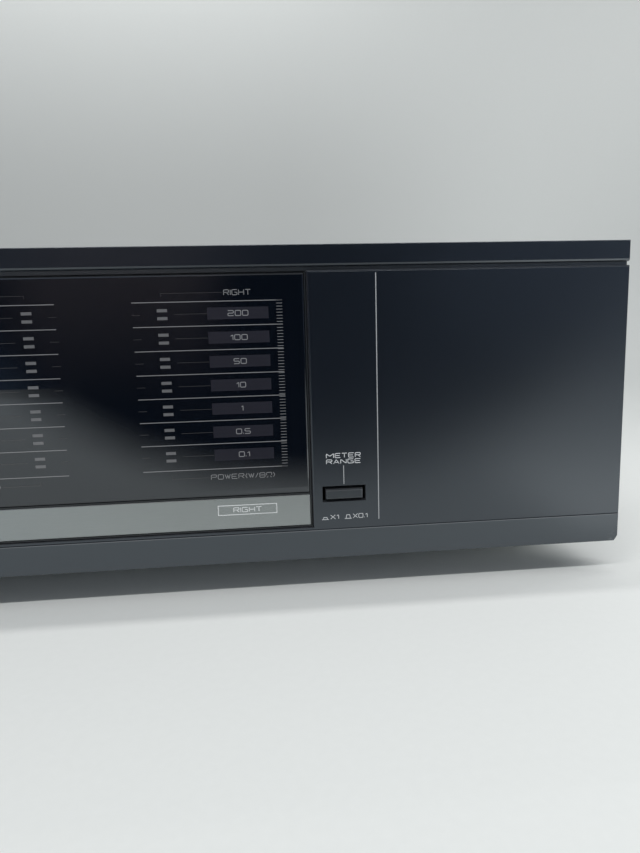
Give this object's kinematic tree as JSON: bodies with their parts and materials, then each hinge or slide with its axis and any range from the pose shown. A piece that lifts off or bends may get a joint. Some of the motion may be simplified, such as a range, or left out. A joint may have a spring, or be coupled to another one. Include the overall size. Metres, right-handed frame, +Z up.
{
  "type": "stereo power amplifier",
  "caption": "Full-width black stereo power amplifier with a smoked level-display window, push buttons, vented steel cover, round feet and screw speaker terminals on the back.",
  "frame": {"origin": "on the floor, in the middle of the outline", "axes": "+X to the viewer's right along the front panel, +Y from the front panel to the back, +Z up"},
  "size_m": [0.44, 0.374, 0.1445],
  "materials": {
    "panel_satin": "satin",
    "window_smoke": "gloss",
    "strip_silver": "matte",
    "button_black": "satin",
    "inner_black": "matte",
    "bar_grey": "gloss",
    "board_green": "satin",
    "zinc_steel": "zinc plated",
    "case_black": "fine textured paint",
    "screw_black": "black oxide",
    "foot_black": "moulded",
    "pad_rubber": "matte",
    "fitting_black": "moulded",
    "jack_nickel": "nickel",
    "insert_white": "satin",
    "stud_brass": "polished",
    "cap_red": "moulded",
    "cap_black": "moulded",
    "core_steel": "varnished",
    "coil_tape": "taped",
    "can_sleeve": "sleeved",
    "relay_case": "clear",
    "fuse_glass": "clear",
    "clip_brass": "tinned",
    "sink_black": "black anodised",
    "pad_grey": "matte",
    "resistor_cement": "matte",
    "wire_red": "sleeved"
  },
  "bodies": {
    "amplifier": {"front_panel": "panel_satin", "display_window": "window_smoke", "silver_strip": "strip_silver", "light_box": "inner_black", "indicator_bars": "bar_grey", "meter_board": "board_green", "front_bracket": "zinc_steel", "power_switch": "inner_black", "speaker_switches": "inner_black", "meter_range_switch": "inner_black", "panel_screws": "zinc_steel", "base_chassis": "zinc_steel", "rear_panel": "case_black", "top_cover": "case_black", "feet": "foot_black", "foot_pads": "pad_rubber", "foot_screws": "zinc_steel", "cover_screws": "screw_black", "chassis_screws": "zinc_steel", "jack_plate": "fitting_black", "jack_shells": "jack_nickel", "jack_inserts": "insert_white", "terminal_plate": "fitting_black", "terminal_studs": "stud_brass", "cord_gland": "fitting_black", "transformer_core": "core_steel", "transformer_coil": "coil_tape", "transformer_strap": "zinc_steel", "transformer_bolts": "zinc_steel", "filter_capacitors": "can_sleeve", "capacitor_clamps": "zinc_steel", "supply_board": "board_green", "rectifier_bridge": "inner_black", "speaker_relays": "relay_case", "fuses": "fuse_glass", "fuse_clips": "clip_brass", "left_heat_sink": "sink_black", "right_heat_sink": "sink_black", "output_transistors": "inner_black", "insulating_pads": "pad_grey", "transistor_screws": "zinc_steel", "left_driver_board": "board_green", "right_driver_board": "board_green", "driver_capacitors": "can_sleeve", "emitter_resistors": "resistor_cement", "board_standoffs": "zinc_steel", "board_screws": "zinc_steel", "wire_looms": "wire_red"},
    "power_button": {"power_button": "button_black"},
    "speaker_a_button": {"speaker_a_button": "button_black"},
    "speaker_b_button": {"speaker_b_button": "button_black"},
    "meter_range_button": {"meter_range_button": "button_black"},
    "left_a_minus_cap": {"left_a_minus_cap": "cap_black"},
    "left_a_plus_cap": {"left_a_plus_cap": "cap_red"},
    "right_a_minus_cap": {"right_a_minus_cap": "cap_black"},
    "right_a_plus_cap": {"right_a_plus_cap": "cap_red"},
    "left_b_minus_cap": {"left_b_minus_cap": "cap_black"},
    "left_b_plus_cap": {"left_b_plus_cap": "cap_red"},
    "right_b_minus_cap": {"right_b_minus_cap": "cap_black"},
    "right_b_plus_cap": {"right_b_plus_cap": "cap_red"}
  },
  "joints": [
    {"name": "power_push", "type": "slide", "parent": "amplifier", "child": "power_button", "axis": [0, 1, 0], "range_m": [0, 0.0035], "stiffness_N_per_m": 200},
    {"name": "speaker_a_push", "type": "slide", "parent": "amplifier", "child": "speaker_a_button", "axis": [0, 1, 0], "range_m": [-0.0035, 0], "stiffness_N_per_m": 200},
    {"name": "speaker_b_push", "type": "slide", "parent": "amplifier", "child": "speaker_b_button", "axis": [0, 1, 0], "range_m": [0, 0.0035], "stiffness_N_per_m": 200},
    {"name": "meter_range_push", "type": "slide", "parent": "amplifier", "child": "meter_range_button", "axis": [0, 1, 0], "range_m": [-0.0035, 0], "stiffness_N_per_m": 200},
    {"name": "left_a_minus_turn", "type": "hinge", "parent": "amplifier", "child": "left_a_minus_cap", "pos_m": [-0.013, 0.17305, 0.0802], "axis": [0, 1, 0], "continuous": true},
    {"name": "left_a_plus_turn", "type": "hinge", "parent": "amplifier", "child": "left_a_plus_cap", "pos_m": [0.009, 0.17305, 0.0802], "axis": [0, 1, 0], "continuous": true},
    {"name": "right_a_minus_turn", "type": "hinge", "parent": "amplifier", "child": "right_a_minus_cap", "pos_m": [0.031, 0.17305, 0.0802], "axis": [0, 1, 0], "continuous": true},
    {"name": "right_a_plus_turn", "type": "hinge", "parent": "amplifier", "child": "right_a_plus_cap", "pos_m": [0.053, 0.17305, 0.0802], "axis": [0, 1, 0], "continuous": true},
    {"name": "left_b_minus_turn", "type": "hinge", "parent": "amplifier", "child": "left_b_minus_cap", "pos_m": [-0.013, 0.17305, 0.0542], "axis": [0, 1, 0], "continuous": true},
    {"name": "left_b_plus_turn", "type": "hinge", "parent": "amplifier", "child": "left_b_plus_cap", "pos_m": [0.009, 0.17305, 0.0542], "axis": [0, 1, 0], "continuous": true},
    {"name": "right_b_minus_turn", "type": "hinge", "parent": "amplifier", "child": "right_b_minus_cap", "pos_m": [0.031, 0.17305, 0.0542], "axis": [0, 1, 0], "continuous": true},
    {"name": "right_b_plus_turn", "type": "hinge", "parent": "amplifier", "child": "right_b_plus_cap", "pos_m": [0.053, 0.17305, 0.0542], "axis": [0, 1, 0], "continuous": true}
  ]
}
